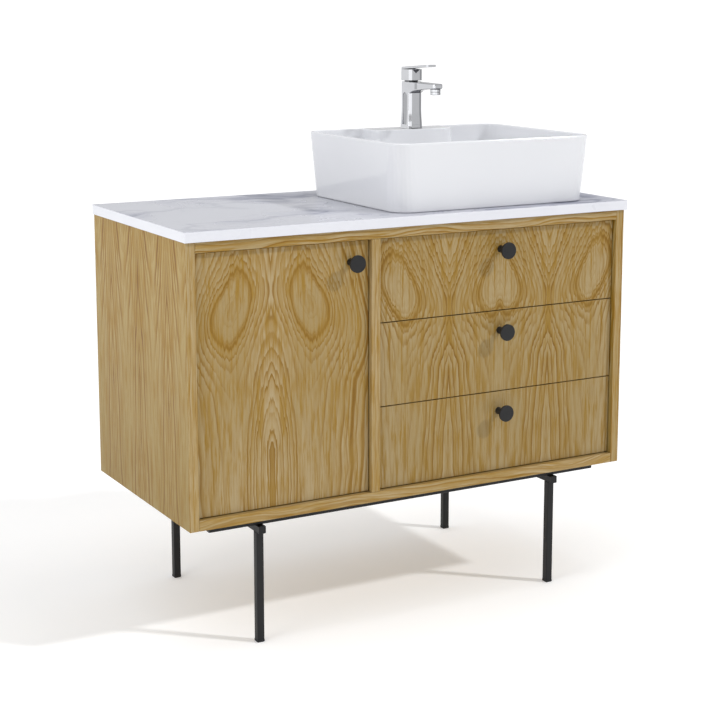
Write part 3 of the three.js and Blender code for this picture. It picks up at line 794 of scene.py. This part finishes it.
def tap_body_shape(place, low, high):
    """Column and spout in one, the spout's underside running into the column in a curve."""
    height = high.z - low.z
    depth = high.y - low.y
    width = high.x - low.x
    back = high.y - place.y
    reach = depth - back
    rings = []
    for k in range(25):
        share = k / 24
        grow = 0.0015 * (1 - eased(share / 0.45))
        flare = 0.0006 * (1 - eased(share / 0.04))
        inset = 0.0003 * (1 if k in (0, 24) else 0)
        scoop = 0.0011 * eased((share - 0.10) / 0.08) * (1 - eased((share - 0.66) / 0.10))
        size = width - 0.003 + 2 * (grow + flare - inset) - 0.0012
        rings.append(tap_section(size, -back + 0.0015 - grow - flare + inset + 0.0006,
                                 back - 0.0015 + grow + flare - inset - 0.0006, share * height, scoop))
    column = skin(rings)

    sections = []
    tip = -reach
    root = back * 0.2
    for k in range(29):
        share = k / 28
        y = root + (tip - root) * (1 - (1 - share) ** 1.35)
        nose = max(0.0, (tip + 0.011 - y) / 0.011)
        shrink = math.sqrt(max(0.0, 1 - nose * nose)) if nose else 1.0
        half = (0.0160 - 0.0030 * eased((root - y) / reach)) * (0.55 + 0.45 * shrink)
        top = height - 0.0002 - 0.0012 * eased((root - y) / reach)
        out = max(0.0, -back + 0.0015 - y)
        under = height - 0.0125 - 0.0060 * (1 - eased(out / 0.085)) - 0.0065 * math.exp(-out / 0.008)
        middle, tall = (top + under) / 2, (top - under) / 2 * (0.62 + 0.38 * shrink)
        corner = min(0.0026, tall * 0.7, half * 0.7)
        outline = rounded_outline([
            (-half, middle - tall, corner), (half, middle - tall, corner),
            (half, middle + tall, corner * 0.6), (-half, middle + tall, corner * 0.6),
        ])
        sections.append([(point.x, y, point.y) for point in outline])
    body = combined("UNION", column, skin(sections))
    inner = width / 2 - RECESS_DEPTH
    return combined("DIFFERENCE", body, *(arch_cutter(side, inner, height) for side in (-1, 1)))


def arch_cutter(side, inner, height):
    """The shallow arched recess in each side of the column."""
    outline = [(ARCH_HALF, 0.0), (ARCH_HALF, 0.6)]
    for k in range(1, 12):
        angle = k * math.pi / 12
        outline.append((ARCH_HALF * math.cos(angle), 0.6 + 0.10 * math.sin(angle)))
    outline += [(-ARCH_HALF, 0.6), (-ARCH_HALF, 0.0)]
    rings = []
    for x, grow in ((inner, 0.0), (inner + 0.0008, 0.0), (inner + 0.006, 0.003)):
        wider = 1 + grow / ARCH_HALF
        rings.append([
            (side * x, 0.0005 + y * wider, height * (0.09 + 0.97 * share) + grow * (share - 0.3))
            for y, share in outline
        ])
    return skin(rings)


def tap_handle_shape(place, low, high):
    """The handle: a chamfered block over the cartridge and a thin lever rising to the user."""
    width = high.x - low.x
    back = high.y - place.y
    reach = place.y - low.y
    block = 0.0240
    rings = []
    for share, inset in ((0.0, 0.0006), (0.03, 0.0), (0.5, 0.0), (1.0, 0.0)):
        rings.append(tap_section(width - 2 * inset, -back + inset, back - inset, share * block, 0.0))
    body = skin(rings)
    tip = LEVER_REACH * reach
    rise = ((high.z - low.z) - block - 0.0046) * LEVER_REACH
    sections = []
    for k in range(33):
        share = k / 32
        y = back - 0.0001 - (back + tip) * share
        near = max(0.0, 1 - (back - y) / 0.007)
        far = max(0.0, 1 - (y + tip) / 0.004)
        round_back = math.sqrt(max(0.0, 1 - near * near))
        round_tip = math.sqrt(max(0.0, 1 - far * far))
        full = width / 2 - 0.0045 * eased((share - 0.25) / 0.75)
        half = full - 0.006 * (1 - round_back) - 0.0035 * (1 - round_tip) - 0.0001
        thick = 0.0050 - 0.0010 * (1 - round_tip) - 0.0008 * (1 - round_back)
        top = block + 0.0045 + rise * share - 0.0001 - 0.0005 * (1 - round_tip)
        corner = min(0.0010, thick * 0.4)
        outline = rounded_outline([
            (-half, top - thick, corner), (half, top - thick, corner),
            (half, top, corner), (-half, top, corner),
        ])
        sections.append([(point.x, y, point.y) for point in outline])
    gusset = bmesh.new()
    for point in (
        (-0.0105, -back, block + 0.001), (0.0105, -back, block + 0.001), (0.0, -back, block - 0.0085),
        (-0.0105, -back + 0.004, block + 0.001), (0.0105, -back + 0.004, block + 0.001),
        (0.0, -back + 0.004, block - 0.0085), (0.0, -back - 0.017, block + 0.0012),
    ):
        gusset.verts.new(point)
    bmesh.ops.convex_hull(gusset, input=gusset.verts[:])
    return combined("UNION", body, skin(sections), gusset)


def aerator_shape(low, high):
    """The spray nozzle: a ribbed sleeve with a hollow mouth."""
    radius = (high.x - low.x) / 2
    height = high.z - low.z
    profile = [
        (0.0002, 0.0030), (radius * 0.74, 0.0030), (radius * 0.78, 0.0), (radius * 0.93, 0.0),
        (radius, 0.0009), (radius, height * 0.42), (radius - 0.0005, height * 0.46),
        (radius - 0.0005, height * 0.52), (radius, height * 0.56), (radius, height - 0.0006),
        (radius - 0.0006, height), (0.0002, height),
    ]
    return turned(profile, 64)


def turned(profile, segments=64):
    """A closed body turned about +Z from (radius, z) points."""
    rings = []
    for radius, z in profile:
        rings.append([
            (radius * math.cos(math.tau * k / segments), radius * math.sin(math.tau * k / segments), z)
            for k in range(segments)
        ])
    return skin(rings)


def placed(bm, node, name, slot, material, place, smooth_below=30.0):
    """Puts a shape made about its own origin in the CAD node's place."""
    bmesh.ops.translate(bm, verts=bm.verts[:], vec=place)
    piece = new_piece(name, finished(bm, name, smooth_below), slot, node)
    piece.data.materials.append(material)
    weighted = piece.modifiers.new("weighted", "WEIGHTED_NORMAL")
    weighted.keep_sharp = True
    return piece


def tap(chrome, recess, plastic):
    spindle_low, spindle_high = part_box("tap_spindle")
    axis = (spindle_low + spindle_high) / 2
    for node, shape in (("tap_body", tap_body_shape), ("tap_handle", tap_handle_shape)):
        low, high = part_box(node)
        place = Vector((axis.x, axis.y, low.z))
        piece = placed(shape(place, low, high), node, node + "_cast", "chrome", chrome, place)
        if node == "tap_body":
            # The arched recess floors get the darker chrome copy: painted shade in the recesses.
            piece.data.materials.append(recess)
            floor = (high.x - low.x) / 2 - RECESS_DEPTH
            for polygon in piece.data.polygons:
                off = abs(polygon.center.x - axis.x) - floor
                if abs(polygon.normal.x) > 0.99 and abs(off) < 0.0002:
                    polygon.material_index = 1
    low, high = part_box("aerator")
    place = Vector(((low.x + high.x) / 2, (low.y + high.y) / 2, low.z))
    placed(aerator_shape(low, high), "aerator", "aerator_sleeve", "chrome", chrome, place, 40.0)
    softened("tap_spindle", "black_plastic", plastic, 0.0002)


# ---------------------------------------------------------------- the rest


def knobs(finish):
    for node in ("door_knob", *(f"drawer_{drawer}_knob" for drawer in DRAWERS)):
        softened(node, "black_knob", finish, 0.0004, sharper=60.0)


def capped_tube(node, axis, coat):
    """A square tube with both ends closed by a plug."""
    piece = softened(node, "black_steel", coat, 0.0003)
    low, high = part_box(node)
    bm = bmesh.new()
    bm.from_mesh(piece.data)
    for end in (0, 1):
        first, last = Vector(low), Vector(high)
        for across in range(3):
            if across != axis:
                first[across] += 0.0008
                last[across] -= 0.0008
        if end:
            first[axis] = high[axis] - 0.0040
            last[axis] = high[axis] - 0.0002
        else:
            first[axis] = low[axis] + 0.0002
            last[axis] = low[axis] + 0.0040
        made = bmesh.ops.create_cube(bm, size=1.0)["verts"]
        for vert in made:
            for k in range(3):
                vert.co[k] = first[k] if vert.co[k] < 0 else last[k]
    bm.to_mesh(piece.data)
    bm.free()


def steel_base(coat, rubber):
    for end in ("front", "rear"):
        capped_tube(f"base_rail_{end}", 0, coat)
    for side in SIDES:
        capped_tube(f"base_crossbar_{side}", 1, coat)
        for end in ("front", "rear"):
            softened(f"leg_{end}_{side}", "black_steel", coat, 0.0003)
            softened(f"foot_{end}_{side}", "black_plastic", rubber, 0.0003)


def kept_nodes(finishes):
    """CAD nodes whose shape is right stay, with a node material on each."""
    for finish, names in finishes:
        for name in names:
            NODES[name].data.materials.clear()
            NODES[name].data.materials.append(finish)


FLOOR_RADIUS = 260.0
RIM_GROWTH, RIM_HEIGHT = 1.15, 14.0  # the raised rim that hides the horizon in low views


def make_floor():
    mesh = bpy.data.meshes.new("floor")
    bm = bmesh.new()
    bmesh.ops.create_circle(bm, cap_ends=True, segments=96, radius=FLOOR_RADIUS)
    rim = bmesh.ops.extrude_edge_only(bm, edges=[edge for edge in bm.edges if edge.is_boundary])
    for vert in rim["geom"]:
        if isinstance(vert, bmesh.types.BMVert):
            vert.co = Vector((vert.co.x * RIM_GROWTH, vert.co.y * RIM_GROWTH, RIM_HEIGHT))
    bm.to_mesh(mesh)
    bm.free()
    floor = bpy.data.objects.new("floor", mesh)
    bpy.context.scene.collection.objects.link(floor)
    m = Finish("floor", Roughness=0.8)
    grain = m.noise(m.place, 6.0, 3.0)
    m.colour(m.mix(grain, (0.90, 0.90, 0.90, 1.0), (0.93, 0.93, 0.93, 1.0)))
    m.surface.inputs["Emission Color"].default_value = (1.0, 1.0, 1.0, 1.0)
    m.surface.inputs["Emission Strength"].default_value = 0.20
    mesh.materials.append(m.material)


def main():
    make_camera()
    studio_light()
    make_floor()
    bpy.context.scene.view_settings.view_transform = "Standard"
    oaks = oak_finishes()
    pale = board("interior_board")
    chrome = plated("chrome")
    zinc = metal(
        "zinc_hardware", (0.55, 0.56, 0.58, 1), (0.42, 0.43, 0.45, 1), (0.25, 0.42), 900.0, 0.00006,
    )
    coat = coated(
        "black_steel", srgb(18, 18, 19), srgb(27, 27, 29), (0.36, 0.5), 1600.0, 0.00008,
    )
    black = coated(
        "black_knob", srgb(27, 27, 28), srgb(36, 36, 37), (0.4, 0.5), 2200.0, 0.00005,
    )
    white = coated(
        "white_plastic", srgb(228, 229, 230), srgb(216, 217, 219), (0.3, 0.42), 700.0, 0.00005,
    )
    rubber = coated(
        "black_plastic", srgb(26, 26, 28), srgb(38, 38, 40), (0.5, 0.65), 1400.0, 0.0001,
    )
    cabinet(oaks, pale)
    fronts(oaks)
    drawer_boxes(pale)
    countertop(marble(), stone_edge())
    basin(ceramic())
    # The second chrome is painted darker for the tap's recesses: painted shade.
    tap(chrome, plated("chrome_recess_painted_shade", 0.62), rubber)
    knobs(black)
    steel_base(coat, rubber)
    hinges = [f"hinge_{part}_{end}" for part in ("cup", "arm") for end in ("lower", "upper")]
    runners = [f"runner_{drawer}_{side}" for drawer in DRAWERS for side in SIDES]
    kept_nodes([
        (zinc, [*hinges, *runners, "tap_fixing"]),
        (chrome, ["waste_body", "waste_plug"]),
        (white, ["bottle_trap"]),
        (rubber, ["waste_nut"]),
    ])


main()
